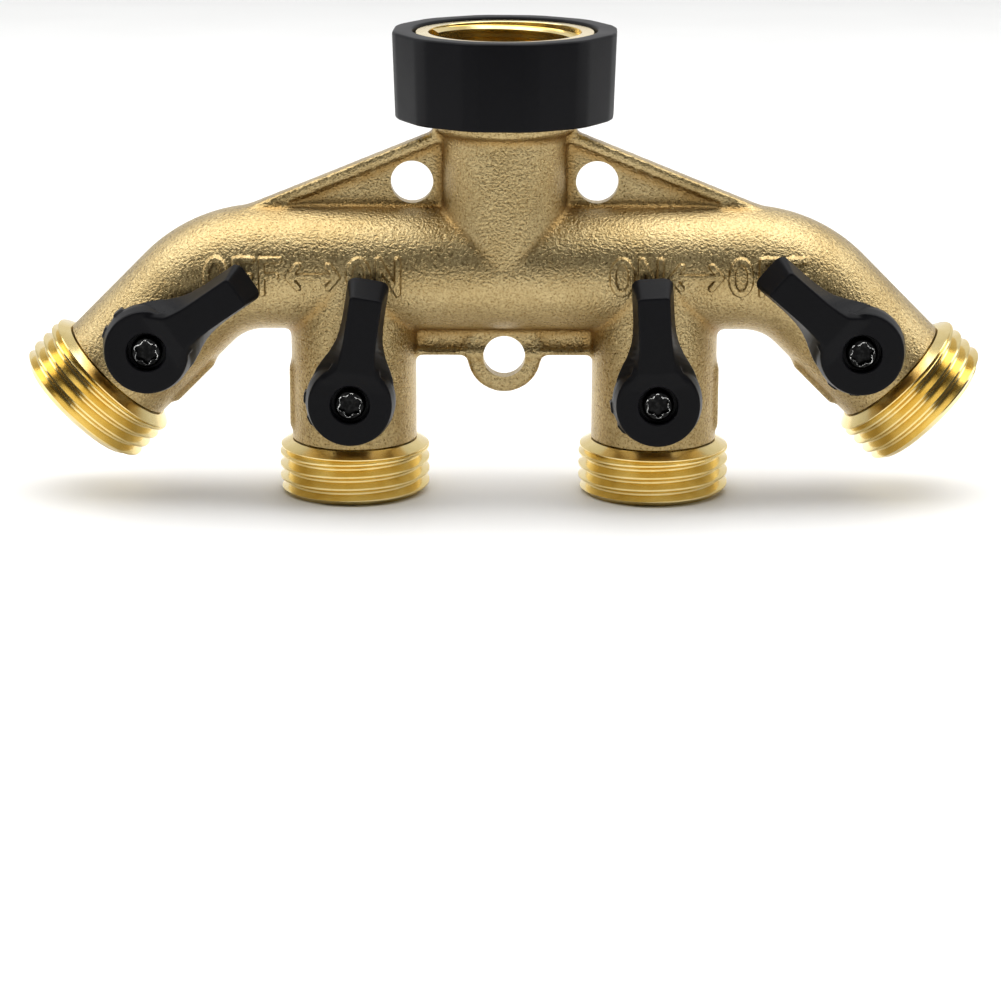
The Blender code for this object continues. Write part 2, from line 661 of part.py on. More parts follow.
def collar_grip_mesh():
    """Faceted plastic grip with softened corners, slightly narrower at its foot."""
    bottom = SHOULDER_TOP + GAP
    edge = 0.5 * MM
    inner = NUT_RADIUS + GAP
    bm = turned([
        (inner, bottom),
        (COLLAR_RADIUS - 2 * edge, bottom),
        (COLLAR_RADIUS - edge, bottom + edge),
        (COLLAR_RADIUS, COLLAR_TOP - edge),
        (COLLAR_RADIUS - edge, COLLAR_TOP),
        (inner + 0.3 * MM, COLLAR_TOP),
        (inner, COLLAR_TOP - 0.3 * MM),
    ], COLLAR_FACETS * 3)
    facet = math.tau / COLLAR_FACETS
    flatness = 0.8
    for vert in bm.verts:
        radius = math.hypot(vert.co.x, vert.co.y)
        if radius > inner + 1.0 * MM:
            angle = math.atan2(vert.co.y, vert.co.x)
            off_corner = abs((angle / facet) % 1.0 - 0.5) * facet
            flat_radius = math.cos(facet / 2) / math.cos(off_corner)
            vert.co.xy *= 1 + (flat_radius - 1) * flatness
    bmesh.ops.rotate(bm, verts=bm.verts, matrix=Matrix.Rotation(COLLAR_TURN, 3, "Z"))
    return finish_mesh(bm, "collar_grip")


def retaining_ring_mesh():
    """Split ring in the spindle's groove, which keeps the nut on."""
    floor, groove_bottom, groove_top = RING_GROOVE
    inner = floor + GAP
    outer = 11.6 * MM
    bottom = groove_bottom + GAP
    top = groove_top - GAP
    profile = [(inner, bottom), (outer, bottom), (outer, top), (inner, top)]
    return finish_mesh(turned(profile, 24, sweep=math.radians(335)), "retaining_ring")


def inlet_washer_mesh():
    bottom = SPINDLE_TOP + GAP
    profile = [
        (WASHER_BORE, bottom),
        (HOSE_MINOR - GAP, bottom),
        (HOSE_MINOR - GAP, bottom + WASHER_THICKNESS),
        (WASHER_BORE, bottom + WASHER_THICKNESS),
    ]
    return finish_mesh(turned(profile, NIPPLE_SIDES), "inlet_washer")


def build_outlet(name, outlet, finishes):
    """Nipple, its O-ring and the two ball seats of one outlet."""
    add_object("outlet_nipple_" + name, nipple_mesh(), finishes["machined"], outlet)
    seal = finish_mesh(torus(9.1 * MM, 0.5 * MM, NIPPLE_SIDES, 5), "nipple_o_ring")
    ring = add_object("nipple_o_ring_" + name, seal, finishes["rubber"], outlet)
    ring.location.z = sum(O_RING_GROOVE) / 2
    for place, turn in (("upstream", 0.0), ("downstream", math.pi)):
        seat = add_object("ball_seat_" + place + "_" + name, seat_mesh(), finishes["seat"], outlet)
        seat.location.z = VALVE_HEIGHT
        seat.rotation_euler = (0.0, turn, 0.0)


def build_valve(name, pivot, finishes):
    """The pieces of one valve that turn with its lever."""
    valve_ball("valve_ball_" + name, finishes["chrome"], pivot)
    valve_stem("valve_stem_" + name, finishes["machined"], pivot)
    lever_handle("lever_handle_" + name, finishes["lever"], pivot)
    lever_screw("lever_screw_" + name, finishes["screw"], pivot)
    washer = turned([(STEM_RADIUS + GAP, 9.6 * MM), (FLANGE_RADIUS, 9.6 * MM),
                     (FLANGE_RADIUS, 10.1 * MM), (STEM_RADIUS + GAP, 10.1 * MM)], SMALL_SIDES)
    ring = torus(2.65 * MM, 0.5 * MM, SMALL_SIDES, 5)
    bmesh.ops.translate(ring, verts=ring.verts, vec=(0.0, 0.0, 11.4 * MM))
    for bm, piece, finish in ((washer, "stem_washer_", "seat"), (ring, "stem_o_ring_", "rubber")):
        bmesh.ops.rotate(bm, verts=bm.verts, matrix=Matrix.Rotation(math.pi / 2, 3, "X"))
        add_object(piece + name, finish_mesh(bm, piece + "mesh"), finishes[finish], pivot)


def build_inlet(finishes):
    add_object("swivel_nut", swivel_nut_mesh(), finishes["machined"])
    add_object("collar_grip", collar_grip_mesh(), finishes["grip"])
    add_object("inlet_washer", inlet_washer_mesh(), finishes["washer"])
    add_object("retaining_ring", retaining_ring_mesh(), finishes["chrome"])
    seal = finish_mesh(torus(9.0 * MM, 0.5 * MM, NIPPLE_SIDES, 5), "swivel_o_ring")
    ring = add_object("swivel_o_ring", seal, finishes["rubber"])
    ring.location.z = (SEAL_GROOVE[1] + SEAL_GROOVE[2]) / 2


def build_finishes():
    return {
        "cast": brass("cast_brass", (0.52, 0.36, 0.13), 0.45),
        "machined": brass("machined_brass", (0.60, 0.34, 0.06), 0.2),
        "chrome": brass("chromed_brass", (0.65, 0.65, 0.66), 0.12),
        "screw": brass("blackened_steel", (0.03, 0.03, 0.03), 0.35),
        "lever": non_metal("lever_plastic", (0.012, 0.012, 0.015), 0.4),
        "grip": non_metal("grip_plastic", (0.012, 0.012, 0.015), 0.5),
        "seat": non_metal("white_ptfe", (0.80, 0.80, 0.78), 0.5),
        "rubber": non_metal("black_rubber", (0.01, 0.01, 0.01), 0.7),
        "washer": non_metal("washer_rubber", (0.03, 0.03, 0.03), 0.7),
    }


def main():
    for obj in list(bpy.data.objects):
        bpy.data.objects.remove(obj, do_unlink=True)
    finishes = build_finishes()
    outlets = outlet_frames()
    pivots = valve_frames(outlets)
    body_casting(finishes["cast"], outlets)
    for name, outlet in outlets.items():
        build_outlet(name, outlet, finishes)
        build_valve(name, pivots[name], finishes)
    build_inlet(finishes)


main()
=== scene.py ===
import json
import math

import bmesh
import bpy
from mathutils import Matrix, Vector


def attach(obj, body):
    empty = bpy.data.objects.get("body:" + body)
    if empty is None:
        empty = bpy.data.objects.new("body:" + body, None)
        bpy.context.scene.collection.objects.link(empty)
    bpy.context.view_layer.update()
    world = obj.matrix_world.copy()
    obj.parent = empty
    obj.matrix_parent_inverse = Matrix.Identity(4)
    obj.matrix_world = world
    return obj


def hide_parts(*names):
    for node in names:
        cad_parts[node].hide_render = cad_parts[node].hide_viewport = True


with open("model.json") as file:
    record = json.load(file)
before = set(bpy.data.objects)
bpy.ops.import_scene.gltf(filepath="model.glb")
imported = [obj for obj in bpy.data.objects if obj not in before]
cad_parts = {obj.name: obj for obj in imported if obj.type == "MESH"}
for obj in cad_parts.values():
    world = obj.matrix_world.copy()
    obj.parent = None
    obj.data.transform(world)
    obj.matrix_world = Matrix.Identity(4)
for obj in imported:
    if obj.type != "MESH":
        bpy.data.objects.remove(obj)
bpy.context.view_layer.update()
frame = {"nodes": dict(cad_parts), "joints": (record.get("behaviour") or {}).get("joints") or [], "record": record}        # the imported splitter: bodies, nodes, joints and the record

mm = 0.001
outletNames = ("outer_left", "inner_left", "inner_right", "outer_right")
mounts = {mount["name"]: mount for mount in frame["record"]["mounts"]}
joints = {joint["name"]: joint for joint in frame["joints"]}
print("frame loaded")


# ---- small helpers for meshes

def spinProfile(points, steps, closed=False):
    # (radius, height) points in millimetres, turned about Z; an open profile ends on the axis
    bm = bmesh.new()
    verts = [bm.verts.new((radius * mm, 0, height * mm)) for radius, height in points]
    edges = [bm.edges.new(pair) for pair in zip(verts, verts[1:])]
    if closed:
        edges.append(bm.edges.new((verts[-1], verts[0])))
    bmesh.ops.spin(bm, geom=verts + edges, axis=(0, 0, 1), angle=math.tau, steps=steps, use_merge=True)
    bmesh.ops.remove_doubles(bm, verts=bm.verts, dist=1e-7)
    bmesh.ops.recalc_face_normals(bm, faces=bm.faces)
    return bm


def roundedProfile(points, radius, steps=4):
    # closed outline with every corner rounded, as (radius, height) points
    rounded = []
    for index, point in enumerate(points):
        here = Vector(point)
        before = Vector(points[index - 1])
        after = Vector(points[(index + 1) % len(points)])
        reach = min(radius, (before - here).length * 0.45, (after - here).length * 0.45)
        start = here + (before - here).normalized() * reach
        end = here + (after - here).normalized() * reach
        for step in range(steps + 1):
            t = step / steps
            rounded.append(tuple(start * (1 - t) ** 2 + here * 2 * t * (1 - t) + end * t ** 2))
    return rounded


def rod(radius, start, end, steps=64):
    bm = bmesh.new()
    start = Vector(start) * mm
    end = Vector(end) * mm
    turn = (end - start).to_track_quat("Z", "Y").to_matrix().to_4x4()
    bmesh.ops.create_cone(bm, cap_ends=True, segments=steps, radius1=radius * mm, radius2=radius * mm,
                          depth=(end - start).length, matrix=Matrix.Translation((start + end) / 2) @ turn)
    return bm


def plate(outline, back, front):
    # flat (x, z) outline in millimetres, extruded along Y
    bm = bmesh.new()
    face = bm.faces.new([bm.verts.new((x * mm, back * mm, z * mm)) for x, z in outline])
    grown = bmesh.ops.extrude_face_region(bm, geom=[face])["geom"]
    moved = [item for item in grown if isinstance(item, bmesh.types.BMVert)]
    bmesh.ops.translate(bm, verts=moved, vec=(0, (front - back) * mm, 0))
    bmesh.ops.recalc_face_normals(bm, faces=bm.faces)
    return bm


def gather(target, bm, matrix=None):
    # pours one bmesh into another, placed by a matrix
    if matrix:
        bmesh.ops.transform(bm, matrix=matrix, verts=bm.verts)
    mesh = bpy.data.meshes.new("part")
    bm.to_mesh(mesh)
    bm.free()
    target.from_mesh(mesh)
    bpy.data.meshes.remove(mesh)


def newObject(name, bm):
    mesh = bpy.data.meshes.new(name)
    bm.to_mesh(mesh)
    bm.free()
    obj = bpy.data.objects.new(name, mesh)
    bpy.context.scene.collection.objects.link(obj)
    return obj


def applyModifiers(obj):
    depsgraph = bpy.context.evaluated_depsgraph_get()
    depsgraph.update()
    finished = bpy.data.meshes.new_from_object(obj.evaluated_get(depsgraph))
    obj.modifiers.clear()
    obj.data = finished


def combine(obj, bm, operation):
    tool = newObject("tool", bm)
    modifier = obj.modifiers.new("Combine", "BOOLEAN")
    modifier.operation = operation
    modifier.solver = "EXACT"
    modifier.object = tool
    applyModifiers(obj)
    bpy.data.objects.remove(tool)


def meltTogether(obj, voxel, passes):
    # one skin over all the overlapping solids, then softened as a casting or moulding is
    remesh = obj.modifiers.new("Remesh", "REMESH")
    remesh.mode = "VOXEL"
    remesh.voxel_size = voxel * mm
    remesh.adaptivity = 0
    applyModifiers(obj)
    bm = bmesh.new()
    bm.from_mesh(obj.data)
    for smoothing in range(passes):
        bmesh.ops.smooth_vert(bm, verts=bm.verts, factor=0.5, use_axis_x=True, use_axis_y=True,
                              use_axis_z=True)
    bm.to_mesh(obj.data)
    bm.free()


def finishPiece(obj, material, body, node, sharp=35):
    obj.data.shade_smooth()
    obj.data.set_sharp_from_angle(angle=math.radians(sharp))
    indices = [face.material_index for face in obj.data.polygons]
    obj.data.materials.clear()
    obj.data.materials.append(material)
    obj.data.polygons.foreach_set("material_index", indices)
    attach(obj, body)
    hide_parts(node)
    return obj


def outletPlace(name):
    # origin on the outlet's axis at the branch's end face, +Z upstream
    rim = mounts["outlet_rim_" + name]
    down = Vector(rim["axis"])
    centre = Vector((rim["pos_m"][0], 0, rim["pos_m"][2]))
    turn = math.atan2(-down.x, -down.z)
    return Matrix.Translation(centre - down * nipple["length"] * mm) @ Matrix.Rotation(turn, 4, "Y")


def leverPlace(name):
    # origin on the pipe's axis where the lever's axis crosses it, +X along the arm, -Y to the front
    pivot = Vector(joints["lever_" + name]["pos_m"])
    return Matrix.Translation((pivot.x, 0, pivot.z)) @ Matrix.Rotation(-math.radians(lever["rest"][name]),
                                                                       4, "Y")


# ---- materials

def linearColour(code):
    # sRGB hex to the linear values that the shader takes
    values = [int(code[index:index + 2], 16) / 255 for index in (1, 3, 5)]
    linear = [value / 12.92 if value <= 0.04045 else ((value + 0.055) / 1.055) ** 2.4 for value in values]
    return (*linear, 1.0)


def addNode(material, kind, settings=None, links=None):
    # links: input name or index -> (node, output name)
    node = material.node_tree.nodes.new(kind)
    for name, value in (settings or {}).items():
        if isinstance(name, int) or name in node.inputs:
            node.inputs[name].default_value = value
        else:
            setattr(node, name, value)
    for name, (source, output) in (links or {}).items():
        material.node_tree.links.new(source.outputs[output], node.inputs[name])
    return node


def newMaterial(name, settings):
    material = bpy.data.materials.new(name)
    material.use_nodes = True
    shader = material.node_tree.nodes["Principled BSDF"]
    for socket, value in settings.items():
        shader.inputs[socket].default_value = value
    return material, shader


def perMetre(size):
    # noise scale for marks of a size in millimetres
    return 1 / (size * mm)


def colourRamp(material, source, output, stops):
    ramp = addNode(material, "ShaderNodeValToRGB", links={"Fac": (source, output)})
    elements = ramp.color_ramp.elements
    for index, (position, code) in enumerate(stops):
        element = elements[index] if index < 2 else elements.new(position)
        element.position = position
        element.color = linearColour(code)
    return ramp


def castBrass():
    # sand-cast brass, shot-blasted: satin, with a coarse dimpled grain that sparkles
    material, shader = newMaterial("shot-blasted cast brass", {"Metallic": 1.0})
    coords = addNode(material, "ShaderNodeTexCoord")
    cloud = addNode(material, "ShaderNodeTexNoise", {"Scale": perMetre(9), "Detail": 3.0},
                    {"Vector": (coords, "Object")})            # 9 mm patches of slightly redder metal
    grain = addNode(material, "ShaderNodeTexNoise",
                    {"Scale": perMetre(0.42), "Detail": 2.0, "Roughness": 0.65},
                    {"Vector": (coords, "Object")})            # 0.4 mm shot marks with finer ones inside
    dents = addNode(material, "ShaderNodeTexVoronoi", {"Scale": perMetre(0.62), "feature": "SMOOTH_F1",
                    "Smoothness": 0.6}, {"Vector": (coords, "Object")})   # 0.6 mm dimples
    tone = colourRamp(material, cloud, "Fac", [(0.3, "#b9a272"), (0.7, "#c9b485")])
    hollow = addNode(material, "ShaderNodeAttribute", {"attribute_name": "hollow"})
    # darker base colour where the shot-mark grain is low: painted shade in its pits
    pitShade = colourRamp(material, grain, "Fac", [(0.34, "#cfc8bc"), (0.6, "#ffffff")])
    pitShadedTone = addNode(material, "ShaderNodeMix", {"data_type": "RGBA", "blend_type": "MULTIPLY", 0: 1.0},
                       {6: (tone, "Color"), 7: (pitShade, "Color")})
    tint = addNode(material, "ShaderNodeMix", {"data_type": "RGBA", 7: linearColour("#9a7a46")},
                   {0: (hollow, "Fac"), 6: (pitShadedTone, 2)})      # darker brown mixed in towards concave corners
    material.node_tree.links.new(tint.outputs[2], shader.inputs["Base Color"])
    gloss = addNode(material, "ShaderNodeMapRange", {"From Min": 0.3, "From Max": 0.7, "To Min": 0.26,
                    "To Max": 0.36}, {"Value": (grain, "Fac")})
    material.node_tree.links.new(gloss.outputs["Result"], shader.inputs["Roughness"])
    fine = addNode(material, "ShaderNodeBump", {"Strength": 1.0, "Distance": 0.19 * mm},
                   {"Height": (grain, "Fac")})
    coarse = addNode(material, "ShaderNodeBump", {"Strength": 1.0, "Distance": 0.06 * mm},
                     {"Height": (dents, "Distance"), "Normal": (fine, "Normal")})
    material.node_tree.links.new(coarse.outputs["Normal"], shader.inputs["Normal"])
    return material


def machinedBrass(name, place):
    # turned brass: deeper yellow, bright, with fine tool rings around the axis of its place
    material, shader = newMaterial("machined brass " + name, {"Metallic": 1.0, "Roughness": 0.18})
    coords = addNode(material, "ShaderNodeTexCoord")
    inverse = place.inverted()
    centred = addNode(material, "ShaderNodeMapping",
                      {"Rotation": inverse.to_euler(), "Location": inverse.translation},
                      {"Vector": (coords, "Object")})
    rings = addNode(material, "ShaderNodeMapping", {"Scale": (0.02, 0.02, 1.0)},
                    {"Vector": (centred, "Vector")})
    lines = addNode(material, "ShaderNodeTexNoise", {"Scale": perMetre(0.16), "Detail": 2.0},
                    {"Vector": (rings, "Vector")})             # 0.16 mm tool marks
    stain = addNode(material, "ShaderNodeTexNoise", {"Scale": perMetre(6), "Detail": 4.0},
                    {"Vector": (centred, "Vector")})
    tone = colourRamp(material, stain, "Fac", [(0.35, "#e4ca82"), (0.65, "#f0dca0")])
    material.node_tree.links.new(tone.outputs["Color"], shader.inputs["Base Color"])
    bump = addNode(material, "ShaderNodeBump", {"Strength": 0.5, "Distance": 0.012 * mm},
                   {"Height": (lines, "Fac")})
    material.node_tree.links.new(bump.outputs["Normal"], shader.inputs["Normal"])
    return material


def mouldedPlastic(name, code, roughness):
    # glass-filled nylon, moulded: near black, satin, with a faint orange-peel skin
    material, shader = newMaterial(name, {"IOR": 1.5, "Specular IOR Level": 0.09})
    coords = addNode(material, "ShaderNodeTexCoord")
    peel = addNode(material, "ShaderNodeTexNoise", {"Scale": perMetre(0.5), "Detail": 3.0},
                   {"Vector": (coords, "Object")})             # 0.5 mm skin texture
    haze = addNode(material, "ShaderNodeTexNoise", {"Scale": perMetre(7), "Detail": 4.0},
                   {"Vector": (coords, "Object")})             # 7 mm handling marks
    tone = colourRamp(material, haze, "Fac", [(0.3, code), (0.75, "#111114")])
    material.node_tree.links.new(tone.outputs["Color"], shader.inputs["Base Color"])
    gloss = addNode(material, "ShaderNodeMapRange",
                    {"To Min": roughness - 0.06, "To Max": roughness + 0.08},
                    {"Value": (haze, "Fac")})
    material.node_tree.links.new(gloss.outputs["Result"], shader.inputs["Roughness"])
    bump = addNode(material, "ShaderNodeBump", {"Strength": 0.35, "Distance": 0.02 * mm},
                   {"Height": (peel, "Fac")})
    material.node_tree.links.new(bump.outputs["Normal"], shader.inputs["Normal"])
    return material


def blackenedSteel():
    # black-oxide screw: dark, oily gloss, brighter where the driver has rubbed
    material, shader = newMaterial("black oxide steel", {"Metallic": 1.0})
    coords = addNode(material, "ShaderNodeTexCoord")
    wear = addNode(material, "ShaderNodeTexNoise", {"Scale": perMetre(0.8), "Detail": 4.0},
                   {"Vector": (coords, "Object")})
    tone = colourRamp(material, wear, "Fac", [(0.45, "#141414"), (0.85, "#303030")])
    material.node_tree.links.new(tone.outputs["Color"], shader.inputs["Base Color"])
    gloss = addNode(material, "ShaderNodeMapRange", {"To Min": 0.22, "To Max": 0.42},
                    {"Value": (wear, "Fac")})
    material.node_tree.links.new(gloss.outputs["Result"], shader.inputs["Roughness"])
    return material


def plainFinish(name, settings, codes, size, depth):
    # a simple inner part: two close tones and a light surface texture of a size in millimetres
    material, shader = newMaterial(name, settings)
    coords = addNode(material, "ShaderNodeTexCoord")
    cloud = addNode(material, "ShaderNodeTexNoise", {"Scale": perMetre(size), "Detail": 3.0},
                    {"Vector": (coords, "Object")})
    tone = colourRamp(material, cloud, "Fac", [(0.35, codes[0]), (0.65, codes[1])])
    material.node_tree.links.new(tone.outputs["Color"], shader.inputs["Base Color"])
    bump = addNode(material, "ShaderNodeBump", {"Strength": 0.4, "Distance": depth * mm},
                   {"Height": (cloud, "Fac")})
    material.node_tree.links.new(bump.outputs["Normal"], shader.inputs["Normal"])
    return material


# ---- body casting

casting = {
    "tubeRadius": 11.1, "tubeZ": 40.9, "straightHalf": 42.7, "bendRadius": 18.9, "bendAngle": 45,
    "leg": 18.55,
    "branchRadius": 11.2, "branchX": 26.9, "branchEnd": 10.0, "valveHeight": 9.85, "bossRadius": 6.3,
    "bossFace": 13.5,
    "neckRadius": 11.0, "shoulderRadius": 12.65, "shoulderBottom": 65.7, "shoulderTop": 67.6,
    "webInner": (12.65, 65.1), "webOuter": (48.5, 50.6), "webThick": 2.4, "rimThick": 4.4, "rimWidth": 1.9,
    "holeRadius": 3.75, "upperHole": (16.35, 56.3), "lowerHole": 24.8, "lugRadius": 6.65, "lowerWeb": 24.9,
    "voxel": 0.54, "softening": 4,
}
# from, to, height of the pads
gate = {"outer": (3.4, 13.5, 0.5), "inner": (2.0, 13.5, 0.3), "halfWidth": 3.2}


def sweptTube(radius, turn, leg, steps=64, arcSteps=16):
    # round bar along the manifold's centre line, built outwards from its left end
    c = casting
    bm = bmesh.new()
    start = Matrix.Translation((-c["straightHalf"] * mm, 0, c["tubeZ"] * mm)) @ Matrix.Rotation(math.pi / 2,
                                                                                                4, "Y")
    bmesh.ops.create_circle(bm, segments=steps, radius=radius * mm, matrix=start)
    leftRing = list(bm.edges)

    def grow(ring, offset):
        grown = bmesh.ops.extrude_edge_only(bm, edges=ring)["geom"]
        far = {item for item in grown if isinstance(item, bmesh.types.BMVert)}
        bmesh.ops.translate(bm, verts=list(far), vec=offset)
        edges = [item for item in grown if isinstance(item, bmesh.types.BMEdge)]
        return [edge for edge in edges if all(vert in far for vert in edge.verts)]

    rightRing = grow(leftRing, (2 * c["straightHalf"] * mm, 0, 0))
    for side, ring in ((-1, leftRing), (1, rightRing)):
        centre = (side * c["straightHalf"] * mm, 0, (c["tubeZ"] - c["bendRadius"]) * mm)
        ringVerts = list({vert for edge in ring for vert in edge.verts})
        spun = bmesh.ops.spin(bm, geom=ringVerts + ring, cent=centre, axis=(0, 1, 0), angle=side * turn,
                              steps=arcSteps)
        ends = [item for item in spun["geom_last"] if isinstance(item, bmesh.types.BMEdge)]
        if leg:
            ends = grow(ends, Vector((side * math.cos(turn), 0, -math.sin(turn))) * leg * mm)
        bmesh.ops.edgeloop_fill(bm, edges=ends)
    bmesh.ops.recalc_face_normals(bm, faces=bm.faces)
    return bm


def rearEar(side):
    # upright half-round ear, thinner at its crest
    bm = bmesh.new()
    outline = [(9.0, -ear["height"] / 2)]
    for step in range(17):
        angle = math.radians(-90 + 180 * step / 16)
        outline.append((ear["reach"] - ear["height"] / 3 * (1 - math.cos(angle)),
                        ear["height"] / 2 * math.sin(angle)))
    outline.append((9.0, ear["height"] / 2))
    face = bm.faces.new([bm.verts.new((-0.5, y, z)) for y, z in outline])
    grown = bmesh.ops.extrude_face_region(bm, geom=[face])["geom"]
    moved = [item for item in grown if isinstance(item, bmesh.types.BMVert)]
    bmesh.ops.translate(bm, verts=moved, vec=(1, 0, 0))
    for vert in bm.verts:
        along = max(0.0, (vert.co.y - casting["tubeRadius"]) / (ear["reach"] - casting["tubeRadius"]))
        vert.co.x = side * ear["x"] + vert.co.x * (ear["base"] + (ear["crest"] - ear["base"]) * along)
        vert.co.z += casting["tubeZ"]
    bmesh.ops.scale(bm, vec=(mm, mm, mm), verts=bm.verts)
    bmesh.ops.recalc_face_normals(bm, faces=bm.faces)
    return bm


ear = {"x": 4.7, "height": 12.9, "reach": 15.6, "base": 4.4, "crest": 2.6, "hole": 1.75}


def castingSolids():
    c = casting
    extra = 1.5          # left on for machining
    body = bmesh.new()
    gather(body, sweptTube(c["tubeRadius"], math.radians(c["bendAngle"]), c["leg"] + extra))
    gather(body, spinProfile([(0, c["tubeZ"]), (c["neckRadius"], c["tubeZ"]),
                              (c["neckRadius"], c["shoulderBottom"] - 0.5),
                              (c["shoulderRadius"], c["shoulderBottom"]),
                              (c["shoulderRadius"], c["shoulderTop"] + 5.5), (0, c["shoulderTop"] + 5.5)],
                              64))
    inner = Vector(c["webInner"])
    outer = Vector(c["webOuter"])
    along = (outer - inner).normalized()
    inward = Vector((along.y, -along.x)) * c["rimWidth"]
    rimCorners = [inner - along * 3, outer, outer + inward, inner - along * 3 + inward]
    for side in (-1, 1):
        x = side * c["branchX"]
        gather(body, rod(c["branchRadius"], (x, 0, c["branchEnd"] - extra), (x, 0, c["tubeZ"])))
        web = [(0, c["tubeZ"]), (side * 40, c["tubeZ"]), (side * outer.x, outer.y),
               (side * inner.x, inner.y),
               (side * 12.2, c["shoulderBottom"] + 0.7), (0, c["shoulderBottom"] + 0.7)]
        gather(body, plate(web, -c["webThick"] / 2, c["webThick"] / 2))
        rim = [(side * corner.x, corner.y) for corner in rimCorners]
        gather(body, plate(rim, -c["rimThick"] / 2, c["rimThick"] / 2))
        gather(body, rearEar(side))
    half = c["branchX"]
    low = c["lowerWeb"]
    gather(body, plate([(-half, low), (half, low), (half, c["tubeZ"]), (-half, c["tubeZ"])], -1.2, 1.2))
    gather(body, plate([(-half, low), (half, low), (half, low + 1.1), (-half, low + 1.1)], -2.1, 2.1))
    gather(body, rod(c["lugRadius"], (0, -1.6, c["lowerHole"]), (0, 1.6, c["lowerHole"])))
    for name in outletNames:
        place = outletPlace(name)
        centre = place @ Vector((0, 0, c["valveHeight"] * mm)) / mm
        front = centre + Vector((0, -c["bossFace"] - 1, 0))
        gather(body, rod(c["bossRadius"], centre, front, 48))
        # where the runner was cut off: towards the gap between branches
        kind, side = name.split("_")
        start, end, height = gate[kind]
        edge = c["branchRadius"] if kind == "inner" else c["tubeRadius"]
        towards = (-1 if side == "left" else 1) * (1 if kind == "inner" else -1)
        corners = [(towards * 8, start), (towards * (edge + height), start),
                   (towards * (edge + height), end),
                   (towards * 8, end)]
        gather(body, plate(corners, -gate["halfWidth"], gate["halfWidth"]), place)
    return body


def machineCasting(obj):
    # everything that is turned, drilled or faced after casting
    c = casting
    chamber = [(0, -4), (14, -4), (14, 0), (9.9, 0), (9.9, 4.6), (8.3, 4.6), (8.3, 17.7), (5.5, 17.7),
               (5.5, 27.3),
               (0, 27.3)]
    stemHole = [(0, 6), (4.9, 6), (4.9, 10.4), (3.5, 10.4), (3.5, c["bossFace"]), (8, c["bossFace"]),
                (8, 18), (0, 18)]
    for name in outletNames:
        bore = spinProfile(chamber, 72)
        bmesh.ops.transform(bore, matrix=outletPlace(name), verts=bore.verts)
        combine(obj, bore, "DIFFERENCE")
        stem = spinProfile(stemHole, 40)
        turn = outletPlace(name) @ Matrix.Translation((0, 0, c["valveHeight"] * mm))
        bmesh.ops.transform(stem, matrix=turn @ Matrix.Rotation(math.pi / 2, 4, "X"), verts=stem.verts)
        combine(obj, stem, "DIFFERENCE")
    combine(obj, sweptTube(8.0, math.radians(31), 0, 48), "DIFFERENCE")
    spindle = [(9.5, 67.6), (9.5, 68.2), (8.2, 68.2), (8.2, 69.6), (9.5, 69.6), (9.5, 69.9), (8.6, 69.9),
               (8.6, 71.4),
               (9.5, 71.4), (9.5, 71.9), (6.9, 71.9), (6.9, 43), (0, 43), (0, 80), (20, 80), (20, 67.6)]
    lathe = spinProfile(spindle + [spindle[0]], 96)
    combine(obj, lathe, "DIFFERENCE")
    for x, z in ((-c["upperHole"][0], c["upperHole"][1]), c["upperHole"], (0, c["lowerHole"])):
        combine(obj, rod(c["holeRadius"], (x, -5, z), (x, 5, z), 56), "DIFFERENCE")
    earHole = c["tubeRadius"] + 2.0
    combine(obj, rod(ear["hole"], (-9, earHole, c["tubeZ"]), (9, earHole, c["tubeZ"]), 32), "DIFFERENCE")


marking = {"height": 5.9, "width": 3.3, "arrow": 8.6, "centreZ": 41.2, "stroke": 0.42, "raise": 0.62,
           "ground": 0.22}


def letterStrokes(letter):
    # straight strokes as point pairs, in a box from -0.5 to 0.5 across and up
    if letter == "F":
        return [((-0.4, -0.5), (-0.4, 0.5)), ((-0.4, 0.5), (0.5, 0.5)), ((-0.4, 0.03), (0.35, 0.03))]
    if letter == "N":
        return [((-0.5, -0.5), (-0.5, 0.5)), ((-0.5, 0.5), (0.5, -0.5)), ((0.5, -0.5), (0.5, 0.5))]
    if letter == "O":
        ring = [(0.5 * math.cos(turn * math.tau / 16),
                 0.5 * math.sin(turn * math.tau / 16)) for turn in range(17)]
        return list(zip(ring, ring[1:]))
    return [((-0.5, 0), (0.5, 0)), ((-0.5, 0), (-0.31, 0.33)), ((-0.5, 0), (-0.31, -0.33)),
            ((0.5, 0), (0.31, 0.33)), ((0.5, 0), (0.31, -0.33))]


def markingStrokes():
    # plain OFF <> ON on the left half, and ON <> OFF on the right; (x, letter) from the middle outwards
    m = marking
    left = ((-20.3, "N"), (-25.5, "O"), (-33.5, "<>"), (-41.1, "F"), (-45.8, "F"), (-50.5, "O"))
    right = ((20.6, "O"), (25.6, "N"), (33.6, "<>"), (41.4, "O"), (46.4, "F"), (51.2, "F"))
    strokes = []
    for x, letter in left + right:
        width = m["arrow"] if letter == "<>" else m["width"]
        for stroke in letterStrokes(letter):
            strokes.append([Vector((x + across * width, m["centreZ"] + up * m["height"])) for across,
                            up in stroke])
    return strokes


